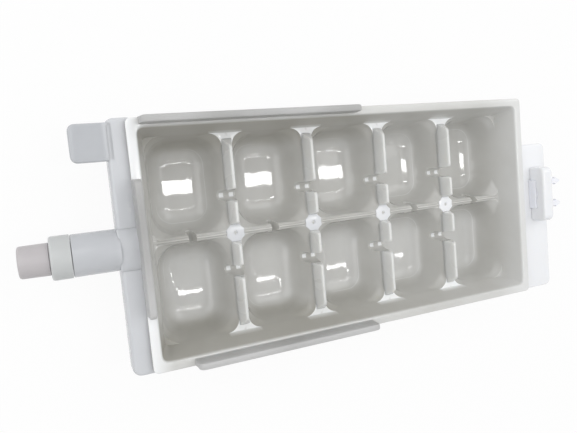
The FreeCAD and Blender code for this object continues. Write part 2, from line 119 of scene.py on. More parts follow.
def skin(rings, loop=False, start=False, end=False):
    """Points and faces of a skin over rings[k, n]: each ring is closed, ring k joins ring
    k + 1; loop joins the last ring to the first; start and end close with a centre point."""
    rings = np.asarray(rings, float)
    k, n = rings.shape[:2]
    points = rings.reshape(-1, 3)
    rows = k if loop else k - 1
    a = np.arange(rows)[:, None] * n + np.arange(n)[None, :]
    b = np.arange(rows)[:, None] * n + (np.arange(n)[None, :] + 1) % n
    quads = np.stack([a, b, (b + n) % (k * n), (a + n) % (k * n)], -1).reshape(-1, 4)
    faces = quads.tolist()
    for wanted, row in ((start, 0), (end, k - 1)):
        if wanted:
            points = np.vstack([points, rings[row].mean(0)])
            first = row * n + np.arange(n)
            fan = np.stack([first, np.roll(first, -1), np.full(n, len(points) - 1)], -1)
            faces += fan.tolist()
    return points, faces


def gather(name, skins, smooth=40):
    """One piece from several skins."""
    points, faces, base = [], [], 0
    for p, f in skins:
        points.append(p)
        faces += [[base + i for i in face] for face in f]
        base += len(p)
    return new_piece(name, np.vstack(points), faces, smooth)


print("a skin over 3 rings of 8 points has", len(skin(np.zeros((3, 8, 3)))[1]), "faces")

# %% [markdown]
# ## The cell block
# This is the tray's working part: ten cups with drafted walls and turned floors, which water
# fills one after the other through ways in the dividers.  Cutting it from a box with Boolean
# modifiers would leave ragged faces wherever a way meets a sloping wall.  So each cup is a
# stack of rounded rectangles, and its rings carry on over the mouth's edge to the middle of
# the dividers, where neighbouring cups share their border points.  A way is made by pressing
# every point above the way's outline down to it.  The underside is the same form grown by
# the wall thickness, and a strip over the rim joins the two into one closed skin.

# %% Sizes inside a cell
half_u, half_v = pitch / 2 - div_x, (mouth_y - div_y) / 2       # of a mouth, along X and Y
mid_v = div_y + half_v
mouth_r, cross_r, cup_r, corner_r = 5.4, 4.0, 9.6, 7.2      # corners: mouth, crossing, cup, block
scoop = 4.0                     # depth over which the mouth's corners open out
lip = 0.2                       # rounding of the mouth's edge
floor_r = 1.1                   # smallest corner radius on the floor
under_r, under_way = 1.0, 0.2   # the underside's corners and ways are this much larger
under_gap = 0.35                # half the gap between the undersides of the two rows
# a way: place, half width of its floor, opening of each side, depth, rise of the floor's sides
way_y, way_half, way_flare, way_drop, way_bow = 15.8, 1.8, 0.49, 8.8, 1.7
long_way_half, long_way_flare = 1.3, 0.33
long_way_cols = (0, 1, 3, 4)    # the long divider has a way in these columns
print("mouth half sizes", half_u, half_v)

# %% Levels down a cup and stations along its sides


def pressed(z, across, half, flare, drop):
    """Lowers heights to the outline of a way: a floor that curves up with the square of the
    distance from its middle, then steep flared sides."""
    away = np.abs(across)
    floor = way_bow * np.minimum(away / half, 1) ** 2
    sides = np.maximum(away - half, 0) * (drop / flare)
    return np.minimum(z, -drop + floor + sides)


def floor_inset(grow):
    """How far the edge of the flat floor lies inside the mouth: the draft's share, and the
    quarter round's tangent length."""
    return (depth + grow) * tan(draft) + (turn + grow) * tan((pi / 2 - draft) / 2)


def cup_levels(grow, top):
    """Inset and depth of each ring down a wall: first along the drafted wall, then round the
    turn at its foot."""
    deep, r = depth + grow, turn + grow
    b = np.linspace(draft, pi / 2, 10)
    turn_depth = deep - r + r * np.sin(b)
    turn_inset = floor_inset(grow) - r * np.cos(b)
    stations = np.array([lip, 0.9, 1.6, 2.4, 3.3, 4.2, 5.0, 6.2, 7.5, way_drop]) + top
    if grow:
        stations = np.append(stations[stations < way_drop + grow], way_drop + grow)
    wall_depth = stations[stations < turn_depth[0] - 0.1]
    return (np.concatenate([wall_depth * tan(draft), turn_inset]),
            np.concatenate([wall_depth, turn_depth]))


def side_nodes(low, high, centre, half, flare, ends=4):
    """Stations along one straight run: even ends, and fixed stations at a water way, which
    draw together where the run grows short."""
    right = np.array([0.35 * half, 0.7 * half, half, half + flare, half + flare + 0.4])
    marks = np.concatenate([-right[::-1], [0], right])
    room = min(centre - low, high - centre) - 0.4
    marks = centre + marks * min(1.0, room / marks[-1])
    return np.concatenate([np.linspace(low, marks[0], ends, endpoint=False), marks,
                           np.linspace(high, marks[-1], ends, endpoint=False)[::-1]])


print("levels down a cup:", len(cup_levels(0, 0)[0]))

# %% One ring of a cell
arc_nodes = np.linspace(0, pi / 2, 11)


def cell_ring(hu, hv, radii, out, square, more):
    """One ring of a cell, seen from above: right run, then corner, top, corner and so on.
    radii are the four corner radii; out is how far each side (right, top, left, bottom)
    stands beyond hu and hv; square names the corners whose arc runs out to a sharp corner,
    or to a tight one by the curve x^8 + y^8 = r^8."""
    signs = ((1, 1), (-1, 1), (-1, -1), (1, -1))
    reach = ((out[0], out[1]), (out[2], out[1]), (out[2], out[3]), (out[0], out[3]))
    arcs = []
    for q, (su, sv) in enumerate(signs):
        angle = arc_nodes if q in (0, 2) else arc_nodes[::-1]
        c, s = np.cos(angle), np.abs(np.sin(angle))
        if square[q] == "sharp":
            m = np.maximum(c, s)
            c, s = c / m, s / m
        elif square[q] == "tight":
            c, s = np.abs(c) ** 0.25, s ** 0.25
        r = radii[q]
        arcs.append(np.stack([su * (hu - r + (r + reach[q][0]) * c),
                              sv * (hv - r + (r + reach[q][1]) * s)], -1))
    way_v = way_y - mid_v
    across, along = (way_half + more, way_flare), (long_way_half + more, long_way_flare)
    v_right = side_nodes(-(hv - radii[3]), hv - radii[0], way_v, *across)[1:-1]
    v_left = side_nodes(-(hv - radii[2]), hv - radii[1], way_v, *across)[-2:0:-1]
    u_top = np.linspace(hu - radii[0], -(hu - radii[1]), 9)[1:-1]
    u_low = side_nodes(-(hu - radii[2]), hu - radii[3], 0, *along)[1:-1]
    runs = (np.stack([u_top, np.full_like(u_top, hv + out[1])], -1),
            np.stack([np.full_like(v_left, -hu - out[2]), v_left], -1),
            np.stack([u_low, np.full_like(u_low, -hv - out[3])], -1),
            np.stack([np.full_like(v_right, hu + out[0]), v_right], -1))
    return np.vstack([part for pair in zip(arcs, runs) for part in pair])


plain = ("",) * 4               # four round corners
print("points of a ring:", len(cell_ring(half_u, half_v, (cross_r,) * 4, (0,) * 4, plain, 0)))

# %% The stack of rings in one cell


def cell_stack(ends, grow):
    """Rings (u, v) and heights of one cell, from the divider's middle over the lip and down
    to the floor.  The lip is a parabola; the corners widen over the scoop by a smooth step,
    3 t^2 - 2 t^3, and tighten again round the turn.  ends says which sides (right, top,
    left, bottom) are the block's outside."""
    g, top, more = grow / cos(draft), (web if grow else 0.0), (grow + under_way if grow else 0.0)
    hu, hv = half_u + g, half_v + g
    edge_r = np.array([corner_r if ends[0] else mouth_r, corner_r if ends[2] else mouth_r,
                       cross_r, cross_r]) + (under_r if grow else 0.0)
    full_r = cup_r + 0.6 * grow         # below, the wall is a little thicker in the corners
    turn_inset = floor_inset(grow) - (turn + grow) * cos(draft)
    rings, levels = [], []

    def add(size, radii, out, drop, square=plain):
        rings.append(cell_ring(hu - size, hv - size, radii, out, square, more))
        levels.append(np.full(len(rings[-1]), -drop))

    shift = top * tan(draft)
    border = [0.0 if e else d + shift
              for e, d in zip(ends, (pitch / 2 - hu, 0, pitch / 2 - hu, mid_v - hv))]
    at_end = "" if grow else "tight"
    corners = (at_end if ends[0] else "sharp", at_end if ends[2] else "sharp", "sharp", "sharp")
    add(shift, edge_r, border, top, corners)
    for t in (0.0, 0.35, 0.7):
        drop = top + lip * t * t
        add(drop * tan(draft), edge_r, [0.0 if e else lip * (1 - t) ** 2 for e in ends], drop)
    for inset, drop in zip(*cup_levels(grow, top)):
        t = np.clip((drop - top) / scoop, 0, 1)
        radii = edge_r + (full_r - edge_r) * t * t * (3 - 2 * t)
        add(inset, np.maximum(radii - max(inset - turn_inset, 0), floor_r), (0,) * 4, drop)
    add(inset + 0.25, np.full(4, floor_r), (0,) * 4, drop)      # keeps the floor flat to its edge
    rings[1:1] = [rings[0] * (1 - k) + rings[1] * k for k in (0.25, 0.6)]     # over the crest
    return np.array(rings), np.array(levels[:1] * 2 + levels)


print("rings of a cell:", cell_stack((True,) * 4, 0.0)[0].shape[:2])

# %% [markdown]
# The long divider is so thin that it has no flat top: its crest is round, and it swells a
# little below.  A round bar laid on it would show a joint towards both cups, so the points
# of the rings are moved by smooth formulas instead, and the skin stays one.

# %% Crest of the long divider
swell, swell_at, swell_reach = 0.45, 1.6, 4.5   # how much, at what depth most, how far out
edge_drop, middle_rise = 1.0, 0.2       # its edges lie this much lower, its middle higher
fade_x, ring_gap = 1.5, 0.02


def crested(from_end, y, z):
    """Rounds the long divider's top.  Its middle rises by a parabola over its thickness and
    its edges sink, which fades out below; its flanks swell by q e^(1 - q) at the depth
    q * swell_at.  Towards an end wall the crest turns level again.  No ring may overtake
    the one above it, so each is kept a ring_gap further out than the last."""
    share = np.clip(1 - (y - div_y) / swell_reach, 0, 1)
    inside = np.clip(from_end / fade_x, 0, 1)
    edge = np.clip(np.minimum(y / div_y, 1.6 - 0.8 * y / div_y), 0, 1) ** 2
    rise = middle_rise * np.clip(1 - (y / div_y) ** 2, 0, 1) - edge_drop * edge * np.exp(1.2 * z)
    y = y + swell * share * (-z / swell_at) * np.exp(1 + z / swell_at)
    middle, step = y[0] < 1e-6, ring_gap * np.arange(len(y))[:, None]
    y[:, middle] = np.maximum.accumulate(y[:, middle] - step) + step
    return y, z + rise * inside


print("crest", middle_rise, "above the flats at its middle")

# %% Rings of the ten cells
way_reach, long_way_reach = 4.0, 5.0    # a way presses the points this near to its divider


def cell_rings(col, row, grow):
    """The stack of one cell with its crest and its ways, in its place.  row is 1 or -1; grow
    is 0 for the inside and the wall thickness for the underside."""
    ends = (col == cols - 1, True, col == 0, False)     # right, top, left, bottom are outside
    rings, z = cell_stack(ends, grow)
    u, v = np.moveaxis(rings, -1, 0)
    if grow:
        v[1:] = np.maximum(v[1:], under_gap - mid_v)
    y = mid_v + v
    xc = mid_x + (col - (cols - 1) / 2) * pitch
    if not grow:
        y, z = crested(end_x - np.abs(xc + u - mid_x), y, z)
    more = grow + under_way if grow else 0.0
    beside = (np.abs(u) > half_u - way_reach) & ~(ends[0] & (u > 0)) & ~(ends[2] & (u < 0))
    cross = pressed(z, y - way_y, way_half + more, way_flare, way_drop + grow)
    z = np.where(beside, cross, z)
    if col in long_way_cols:
        along = pressed(z, u, long_way_half + more, long_way_flare, way_drop + grow)
        z = np.where(y < long_way_reach, along, z)
    return np.stack([xc + u, row * y, flats + z], -1)


cells_in, cells_out = ([cell_rings(c, s, grow) for c in range(cols) for s in (1, -1)]
                       for grow in (0.0, wall))
print("rings, points of a cell:", cells_in[0].shape[:2], "inside,", cells_out[0].shape[:2], "below")

# %% [markdown]
# The rim goes round the whole block.  A rim made by itself would meet the cells at points
# that they don't have, so its strip starts from the border points of the cells and steps
# out over the rim to the border of the underside.

# %% Outline of the block


def on_border(cells, hx, hy, r):
    """Points of the first rings that lie on the block's rounded outline, in turn round it:
    their core points, their directions from the core, and the core's half sizes."""
    p = np.vstack([c[0] for c in cells])[:, :2] - (mid_x, 0)
    core = np.clip(p, (-(hx - r), -(hy - r)), (hx - r, hy - r))
    away = np.linalg.norm(p - core, axis=1)
    p, core = p[away > r - 1e-5], core[away > r - 1e-5]
    order = np.argsort(np.arctan2(p[:, 1] / hy, p[:, 0] / hx))
    apart = np.linalg.norm(np.diff(p[order], axis=0), axis=1) > 1e-4
    keep = order[np.concatenate([[True], apart])]
    return core[keep], (p - core)[keep] / r, (hx - r, hy - r)


below = wall / cos(draft)
low_out = below - web * tan(draft)
inner = on_border(cells_in, end_x, mouth_y, corner_r)
outer = on_border(cells_out, end_x + low_out, mouth_y + low_out, corner_r + under_r)
print("border points", len(inner[0]), len(outer[0]))

# %% Strip over the rim, and the closed block
rim_edge, w_out, z_low = 0.8, rim_lean + rim_w, rim_h - rim_t


def lean(z):
    """How far the wall over the flats has leaned out at a height."""
    return rim_lean * z / rim_h


# stations over the rim: (outset from the wall at the flats, height above them, corner radius)
stations = [
    (0, 0, corner_r), (lean(3), 3, corner_r), (lean(7), 7, corner_r),
    (lean(rim_h - rim_edge), rim_h - rim_edge, 6.2), (lean(rim_h) - 0.06, rim_h - 0.4, 6.2),
    (lean(rim_h) + 0.22, rim_h - 0.1, 6.2), (lean(rim_h) + 0.75, rim_h, 6.2),
    (w_out - 0.8, rim_h, 3.6), (w_out - 0.3, rim_h - 0.1, 3.3), (w_out - 0.06, rim_h - 0.35, 3.2),
    (w_out, rim_h - 0.8, 3.2), (w_out, z_low + 0.4, 3.2), (w_out - 0.12, z_low + 0.1, 3.2),
    (w_out - 0.4, z_low, 3.2), (lean(z_low) + below + 0.4, z_low, 4.2),
    (lean(z_low) + below, z_low - 0.5, 4.4), (lean(4) + below, 4, 4.6), (below, 0, 6.2),
    (low_out, -web, corner_r + under_r)]


def rim_ring(k):
    """Ring k of the strip over the rim: every border point keeps its direction, and its core
    point is scaled to the station's outline; the inside's points give way to the underside's."""
    out, z, r = stations[k]
    share = k / (len(stations) - 1)
    ring = 0
    for (core, away, size), part in ((inner, 1 - share), (outer, share)):
        half = np.array([end_x + out - r, mouth_y + out - r])
        ring = ring + part * (core * half / size + r * away)
    return np.column_stack([ring + (mid_x, 0), np.full(len(ring), flats + z)])


strip = skin([rim_ring(k) for k in range(len(stations))])
cell_block = gather("cell_block", [skin(c, end=True) for c in cells_in + cells_out] + [strip], 32)

# %% [markdown]
# Where a divider meets a side wall, the flat there gets a painted glare, lighter than the
# rest.  A height alone can't pick these flats out, because the mouths' edges lie at the same
# level, so an attribute marks the points that face up, near a side wall, between the end walls.

# %% Mark the flats at the side walls for a painted glare
near_wall, off_end, near_z = 31, 14, 1.5    # beyond this Y, off the ends, near the flats' level
mesh = cell_block.data
spot, facing = np.empty((2, len(mesh.vertices), 3))
mesh.vertices.foreach_get("co", spot.ravel())
mesh.vertices.foreach_get("normal", facing.ravel())
spot = spot / mm
# painted glare: the share by which these flats are painted lighter
painted_glare_share = (np.clip((facing[:, 2] - 0.6) / 0.35, 0, 1) * (np.abs(spot[:, 1]) > near_wall)
          * (np.abs(spot[:, 2] - flats) < near_z) * (np.abs(spot[:, 0] - mid_x) < end_x - off_end))
mesh.attributes.new("painted_flat_glare", "FLOAT", "POINT").data.foreach_set("value", painted_glare_share)
print("flats at the side walls:", int((painted_glare_share > 0.5).sum()), "points")

# %% [markdown]
# ## Blades and posts
# On every cross divider stands a thin blade that slopes down to the side wall and stops
# short of the crossing, and the water way parts it in two.  The cups' walls run up into its
# flanks, so it can't be a plate of even thickness: an upright section, wide at its foot and
# round at its top, is carried along a path that follows the blade's crest.  An eight-sided
# post closes each crossing of the dividers.

# %% Paths over the blades
crest, crest_half, crest_round = 5.4, 0.5, 0.45     # height of the top, half thickness, rounding
foot, sunk = -1.6, 1.1          # lowest level of the flanks, and of the path's ends
slope_top, slope_foot, slope_end = 5.4, 2.4, 1.9    # the slope's places, from the side wall
post_side, post_crest = 3.2, 4.6                    # the steep end beside the post, foot and top


def rounded(points, radii, steps=5):
    """Outline with its corners cut by quadratic curves: from r before a corner to r behind
    it, by (1 - t)^2, 2 t (1 - t) and t^2."""
    p = np.asarray(points, float)
    t = np.linspace(0, 1, steps + 1)[:, None]
    out = []
    for a, b, c, r in zip(np.roll(p, 1, 0), p, np.roll(p, -1, 0), radii):
        if r == 0:
            out.append(b[None])
            continue
        start = b + r * (a - b) / np.linalg.norm(a - b)
        stop = b + r * (c - b) / np.linalg.norm(c - b)
        out.append((1 - t) ** 2 * start + 2 * t * (1 - t) * b + t * t * stop)
    return np.vstack(out)


def way_edge(z):
    """Half width of the water way at a height: it opens evenly towards the top."""
    return way_half + way_flare * (z + way_drop) / way_drop


wall_path = rounded([(way_y + way_edge(-sunk), -sunk), (way_y + way_edge(crest), crest),
                     (mouth_y - slope_top, crest), (mouth_y - slope_foot, 0),
                     (mouth_y - slope_end, -sunk)], (0, 1.6, 1.2, 0.8, 0), 6)
post_path = rounded([(post_side, -sunk), (post_crest, crest), (way_y - way_edge(crest), crest),
                     (way_y - way_edge(-sunk), -sunk)], (0, 0.9, 1.6, 0), 6)
print("blades reach from", post_side, "to", mouth_y - slope_end, "with a gap for the way")

# %% Blades on the cross dividers


def placed(shape, axes="xyz", at=(0, 0, 0)):
    """The skin with its own x, y, z laid along other axes, then moved."""
    points, faces = shape
    out = np.empty_like(points)
    for source, letter in enumerate(axes):
        out[:, "xyz".index(letter)] = points[:, source]
    return out + np.asarray(at, float), faces


def flank(z):
    """Half thickness of a blade at a height: it leaves the cell walls at their own slope, a
    little below the flats, and tapers evenly to the crest."""
    return np.interp(z, [foot, -0.9, -0.2, 0.3, crest], [2.56, 2.447, 2.30, 2.15, crest_half])


def blade(path):
    """Surface over a path of (along, height) points: at each point stands an upright section
    with the flank's thickness and half an ellipse, crest_round high, for its top."""
    top = path[:, 1:] - crest_round
    height = foot + (top - foot) * np.linspace(0, 1, 9)
    a = np.linspace(0, pi, 9)[1:-1]
    right = np.stack([flank(height), height], -1)
    cap = np.stack([flank(top) * np.cos(a), top + crest_round * np.sin(a)], -1)
    section = np.concatenate([right, cap, right[:, ::-1] * (-1, 1)], 1)
    along = np.repeat(path[:, :1], section.shape[1], 1)
    return skin(np.stack([section[..., 0], along, section[..., 1]], -1), start=True, end=True)


crossings = [mid_x + (n + 1 - cols / 2) * pitch for n in range(cols - 1)]
cross_blades = gather("cross_blades", [placed(blade(path * (s, 1)), at=(x, 0, flats))
                                       for x in crossings for s in (1, -1)
                                       for path in (wall_path, post_path)], 35)

# %% Posts at the crossings
post_r, post_rise, post_drop, post_dish = 4.2, 0.3, 5.0, 0.965


def post_ring(r, z):
    """Eight corners at r, each side drawn in a little at its middle."""
    angle = radians(22.5) + np.arange(16) * pi / 8
    reach = np.where(np.arange(16) % 2, r * cos(pi / 8) * post_dish, r)
    return np.column_stack([reach * np.cos(angle), reach * np.sin(angle), np.full(16, z)])


post = skin([post_ring(post_r * 0.9, -post_drop), post_ring(post_r, -1),
             post_ring(post_r, post_rise - 0.25), post_ring(post_r - 0.1, post_rise - 0.05),
             post_ring(post_r - 0.3, post_rise), post_ring(1.0, post_rise),
             post_ring(0.8, post_rise - 0.25)], start=True, end=True)
posts = gather("crossing_posts", [placed(post, at=(x, 0, flats)) for x in crossings], 25)

# %% [markdown]
# ## Splash guards
# Two upright strips along the sides and one across the front keep the water in while the
# tray fills.  They are plain plates with round upper corners on the rim's outer edge.  A box
# with a Bevel modifier would round all its edges alike, so each guard's outline from the
# side is stacked across its thickness and drawn in towards both faces.  The mould was left
# rougher there, and they get a frosted finish of their own, in a darker grey that is painted
# shade.

# %% Three guards on the rim
guard_t, guard_h, guard_foot, guard_round, guard_edge = 2.8, 7.65, 1.2, 3.0, 0.8
left_span, right_span, front_span = (-90, 1), (-78.6, 1.6), (-25.8, 25.8)   # from the middle


def shrunk(p, d):
    """Outline moved inwards by d along the mean of its neighbours' normals."""
    along = np.roll(p, -1, 0) - np.roll(p, 1, 0)
    normal = np.column_stack([along[:, 1], -along[:, 0]]) / np.linalg.norm(along, axis=1)[:, None]
    area = np.sum(p[:, 0] * np.roll(p[:, 1], -1) - np.roll(p[:, 0], -1) * p[:, 1])
    return p - d * normal * np.sign(area)


def flat_plate(side, half_t, edge):
    """Plate between two outlines (along, height), half_t to either side, with its edges
    rounded by three outlines each."""
    rings = []
    for d, cut, sign in ((edge, 0, -1), (edge * 0.3, edge * 0.3, -1), (0, edge, -1),
                         (0, edge, 1), (edge * 0.3, edge * 0.3, 1), (edge, 0, 1)):
        p = shrunk(side, d)
        rings.append(np.column_stack([np.full(len(p), sign * (half_t - cut)), p]))
    return skin(rings, start=True, end=True)


def guard(low, high):
    """Upright strip from low to high, with round upper corners."""
    side = rounded([(low, -guard_foot), (high, -guard_foot), (high, guard_h), (low, guard_h)],
                   (0, 0, guard_round, guard_round), 7)
    return flat_plate(side, guard_t / 2, guard_edge)


guards = gather("splash_guards", [
    placed(guard(*left_span), "yxz", (mid_x, rim_y - guard_t / 2, rim_top)),
    placed(guard(*right_span), "yxz", (mid_x, -rim_y + guard_t / 2, rim_top)),
    placed(guard(*front_span), "xyz", (mid_x - rim_x + guard_t / 2, 0, rim_top))], 35)

# %% [markdown]
# ## Front plate, sleeve and stop tab
# In front of the cells the rim drops to a plate whose edge turns down into a skirt, with a
# sleeve for the axle under it and a low crown over the sleeve.  A Solidify modifier on a
# bent sheet would leave the skirt's lower edge square, so the skirted plate is one skin of
# its own: rings run out over the top, round the edge, down the skirt, and back up inside.

# %% Skirted plates


def outline(half_u, half_v, r, arc=8):
    """Rounded rectangle, anticlockwise from its lower right: straight runs, and quarter
    circles of radius r about points r inside the corners."""
    r = min(r, half_u, half_v)
    t = np.linspace(0, pi / 2, arc + 1)
    out = []
    for quarter, (su, sv) in enumerate(((1, 1), (-1, 1), (-1, -1), (1, -1))):
        angle = t + quarter * pi / 2
        out.append(np.stack([su * (half_u - r) + r * np.cos(angle),
                             sv * (half_v - r) + r * np.sin(angle)], -1))
    return np.vstack(out)


def quarter_round(edge, steps=4):
    """Inset and drop along a quarter round: edge * (1 - sin) and edge * (1 - cos)."""
    a = np.linspace(0, pi / 2, steps + 1)
    return edge * (1 - np.sin(a)), edge * (1 - np.cos(a))


plate_t = 1.9


def skirted(x_span, y_span, r, drop, edge):
    """Closed skin of a plate with a skirt: rounded rectangles over the top edge and the
    skirt, then the same ones plate_t inside."""
    t = plate_t
    path = list(zip(*quarter_round(edge))) + [(0, drop - 0.3), (0.1, drop - 0.08), (0.3, drop)]
    path += [(t - 0.3, drop), (t - 0.08, drop - 0.12), (t, drop - 0.3), (t, t + 0.6), (t + 0.6, t)]
    (x0, x1), (y0, y1) = x_span, y_span
    half = np.array([(x1 - x0) / 2, (y1 - y0) / 2])
    rings = []
    for inset, down in path:
        flat = outline(*(half - inset), max(r - inset, 0.3), 7) + ((x0 + x1) / 2, (y0 + y1) / 2)
        rings.append(np.column_stack([flat, np.full(len(flat), plate_top - down)]))
    return skin(rings, start=True, end=True)


wall_x = mid_x - end_x - rim_lean           # the block's front wall under the rim
plate_y, front_corner, front_skirt, front_edge, tucked = 48.8, 3.5, 7.0, 1.6, 0.7
front_plate = skirted((plate_front, wall_x + tucked), (-plate_y, plate_y), front_corner,
                      front_skirt, front_edge)
print("front plate:", len(front_plate[0]), "points")

# %% Ribs inside the front skirt
rib_half, rib_edge, rib_high, rib_low, rib_back = 0.7, 0.2, 1.85, 6.6, 0.5
rib_y = (-33, -17, 17, 33)


def slab(half_u, half_v, r, low, high, edge):
    """Plate with rounded edges: outlines shrink by edge * (1 - cos) while they rise by
    edge * (1 - sin), at both faces."""
    inset, drop = quarter_round(edge, 3)
    rings = []
    for d, z in [*zip(inset, low + drop), *zip(drop, high - inset)]:
        flat = outline(half_u - d, half_v - d, max(r - d, 0.05), 6)
        rings.append(np.column_stack([flat, np.full(len(flat), z)]))
    return skin(rings, start=True, end=True)


rib = slab((wall_x - plate_front) / 2 - rib_back, rib_half, 0.3, plate_top - rib_low,
           plate_top - rib_high, rib_edge)
ribs = [placed(rib, at=((wall_x + plate_front) / 2 + rib_back, y, 0)) for y in rib_y]
print("ribs:", len(ribs))

# %% [markdown]
# The sleeve lies half under the plate, and the plate rises over it in a low crown.  Scaling
# a whole cylinder flat would bury most of it, so only the arc above the plate is lofted.

# %% Crown over the sleeve
crown_half, crown_rise, crown_foot = 8.0, 2.3, 0.9
crown_r = (crown_half ** 2 + crown_rise ** 2) / (2 * crown_rise)


def crown():
    """Slice of a cylinder along X: the arc above the plate, its front edge rounded."""
    a = np.linspace(-1, 1, 21) * np.arcsin(crown_half / crown_r)
    y, z = crown_r * np.sin(a), crown_r * np.cos(a) - crown_r + crown_rise
    rings = []
    for x, s in ((plate_front, 0.72), (plate_front + 0.15, 0.87), (plate_front + 0.5, 0.97),
                 (plate_front + 1.1, 1), (wall_x, 1)):
        section = np.column_stack([np.full(21, x), y, plate_top + z * s - (1 - s) * 0.2])
        base = [(x, side * crown_half, plate_top - crown_foot) for side in (1, -1)]
        rings.append(np.vstack([section, base]))
    return skin(rings, start=True, end=True)


print("crown radius", round(crown_r, 2))

# %% Sleeve for the axle
sleeve_x, sleeve_r, sleeve_bore, sleeve_edge, sleeve_step = 7.5, 7.95, 4.6, 0.5, 1.1


def turned(profile, steps=64):
    """Closed profile of (x, radius) points turned about the X axis."""
    angle = np.linspace(0, 2 * pi, steps, endpoint=False)
    p = np.asarray(profile, float)
    x = np.repeat(p[:, :1], steps, 1)
    return skin(np.stack([x, p[:, 1:] * np.cos(angle), p[:, 1:] * np.sin(angle)], -1), loop=True)


def sleeve():
    """A profile with a rounded front edge, turned about the pivot axis; behind the plate's
    front it is thinner, so that the crown covers it."""
    inset, drop = quarter_round(sleeve_edge)
    front = np.column_stack([sleeve_x + inset, sleeve_r - drop])[::-1]
    back, thin = plate_front + 0.8, sleeve_r - sleeve_step
    return turned(np.vstack([front, [(back, sleeve_r), (back, thin), (wall_x, thin),
                                     (wall_x, sleeve_bore), (sleeve_x, sleeve_bore)]]))


print("sleeve from", sleeve_x, "to", round(wall_x, 2))

# %% [markdown]
# The frame holds the tray back at this tab while the drive twists it.  A box would meet the
# plate in a hard step, and the moulding flows, so the tab is lofted and its top climbs.

# %% Stop tab
tab_low, tab_high, tab_reach, tab_round, tab_half_t, tab_thin = 33.2, 47.3, 12.6, 2.5, 1.3, 0.9
tab_top = plate_top - 0.6
climb_start, climb_len = 1.0, 3.2           # the step up to the plate begins before its edge


def tab():
    """Loft along X: rounded rectangles that narrow towards the round free end, and whose
    top climbs to the plate in a smooth step, 3 t^2 - 2 t^3."""
    inset, advance = quarter_round(tab_round, 5)
    climbing = tab_reach + np.linspace(-climb_start, 2.4, 8)
    x = np.concatenate([advance, [5, 9], climbing])
    inset = np.concatenate([inset, np.zeros(10)])
    thin = tab_thin * (inset / tab_round) ** 1.5
    t = np.clip((x - tab_reach + climb_start) / climb_len, 0, 1)
    climb = (plate_top - tab_top - 0.02) * t * t * (3 - 2 * t)
    rings = []
    for at, cut, slim, up in zip(x, inset, thin, climb):
        flat = outline((tab_high - tab_low) / 2 - cut, tab_half_t - slim, 0.7, 5)
        flat = flat + ((tab_high + tab_low) / 2, tab_top - tab_half_t + up)
        rings.append(np.column_stack([np.full(len(flat), plate_front - tab_reach + at), flat]))
    return skin(rings, start=True, end=True)


front_end = gather("front_end", [front_plate, crown(), sleeve(), tab()] + ribs, 35)

# %% [markdown]
# ## Rear flange and drive hub
# A flat flange with a short lip and two webs carry the square hub, which stands across the
# pivot axis and takes the hard insert that the drive turns.  The hub is a ring between a
# rounded square and a round bore.  A Boolean cut would leave long thin faces round the bore,
# so both outlines get their points in the same directions from the centre, and one skin
# joins them.

# %% Drive hub
hub_t, hub_half, hub_round, hub_edge, bore_r, bore_edge = 6.2, 13.5, 3.0, 1.1, 9.0, 0.3


def around(flat, steps=160):
    """The outline's points in even directions from its centre."""
    angle = np.arctan2(flat[:, 1], flat[:, 0])
    wanted = np.linspace(-pi, pi, steps, endpoint=False)
    return np.stack([np.interp(wanted, angle, flat[:, k], period=2 * pi) for k in (0, 1)], -1)


def hub():
    """Closed band: the square outline over its rounded edges, then the bore."""
    square = list(zip(*quarter_round(hub_edge)))
    square += [(d, hub_t - z) for d, z in reversed(square)]
    rings = []
    for d, z in square:
        flat = around(outline(hub_half - d, hub_half - d, hub_round - d * 0.7, 9))
        rings.append(np.column_stack([flat, np.full(len(flat), z)]))
    flat = flat / np.linalg.norm(flat, axis=1)[:, None]
    for r, z in ((bore_r + bore_edge, hub_t), (bore_r, hub_t - bore_edge), (bore_r, bore_edge),
                 (bore_r + bore_edge, 0)):
        rings.append(np.column_stack([flat * r, np.full(len(flat), z)]))
    return skin(rings, loop=True)


print("hub", 2 * hub_half, "square with a bore of", 2 * bore_r)

# %% Webs and flange
flange_y, flange_len, flange_corner, flange_skirt, flange_edge = (-48.3, 25.4), 17.6, 3.0, 4.0, 0.9
web_half, web_edge = 0.8, 0.2


def hub_web(s):
    """Web from the end wall to the hub: a four-cornered plate along the pivot."""
    x0, x1, top = mid_x + end_x + rim_lean - 1, hub_in + 1, plate_top - 0.95
    side = np.array([(x0, flats + 1), (x1, -hub_half + 3), (x1, top), (x0, top)])
    return placed(flat_plate(side, web_half, web_edge), "yxz", (0, s * (hub_half - web_half), 0))


flange = skirted((mid_x + end_x + 2.6, mid_x + rim_x + flange_len), flange_y, flange_corner,
                 flange_skirt, flange_edge)
rear_end = gather("rear_end", [flange, placed(hub(), "yzx", (hub_in, 0, 0)), hub_web(1),
                               hub_web(-1)], 35)

# %% [markdown]
# ## Axle, bush and insert
# The pin and the bush are turned parts, so each is one profile turned about the pivot, with
# a softly rounded free end.  A cylinder with a Bevel modifier would round all its edges
# alike, and here the journal's end is rounder than its shoulder.  The insert and the
# sensor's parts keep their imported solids.

# %% Turned pin and bush
pin_path = [(-10.4, 0.02), (-10.4, 5.85), (0, 6.0), (0, 5.1), (7.5, 5.1), (7.5, 4.6), (22.5, 4.6),
            (22.5, 0.02)]
pin_round = [0, 1.2, 0.25, 0, 0, 0, 0.2, 0]
axle_pin = gather("pin", [turned(rounded(pin_path, pin_round, 6))], 30)
bush_path = [(0.15, 5.18), (0.15, 8.1), (7.35, 8.1), (7.35, 5.18)]
axle_bush = gather("bush", [turned(rounded(bush_path, [0.2, 1.1, 0.25, 0.2], 5))], 30)

# %% [markdown]
# ## Bodies
# A piece has to move with the body it belongs to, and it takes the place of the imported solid
# that it dresses.  All of the moulding is fixed to the tray, the pin is pressed into it, and
# only the bush turns.

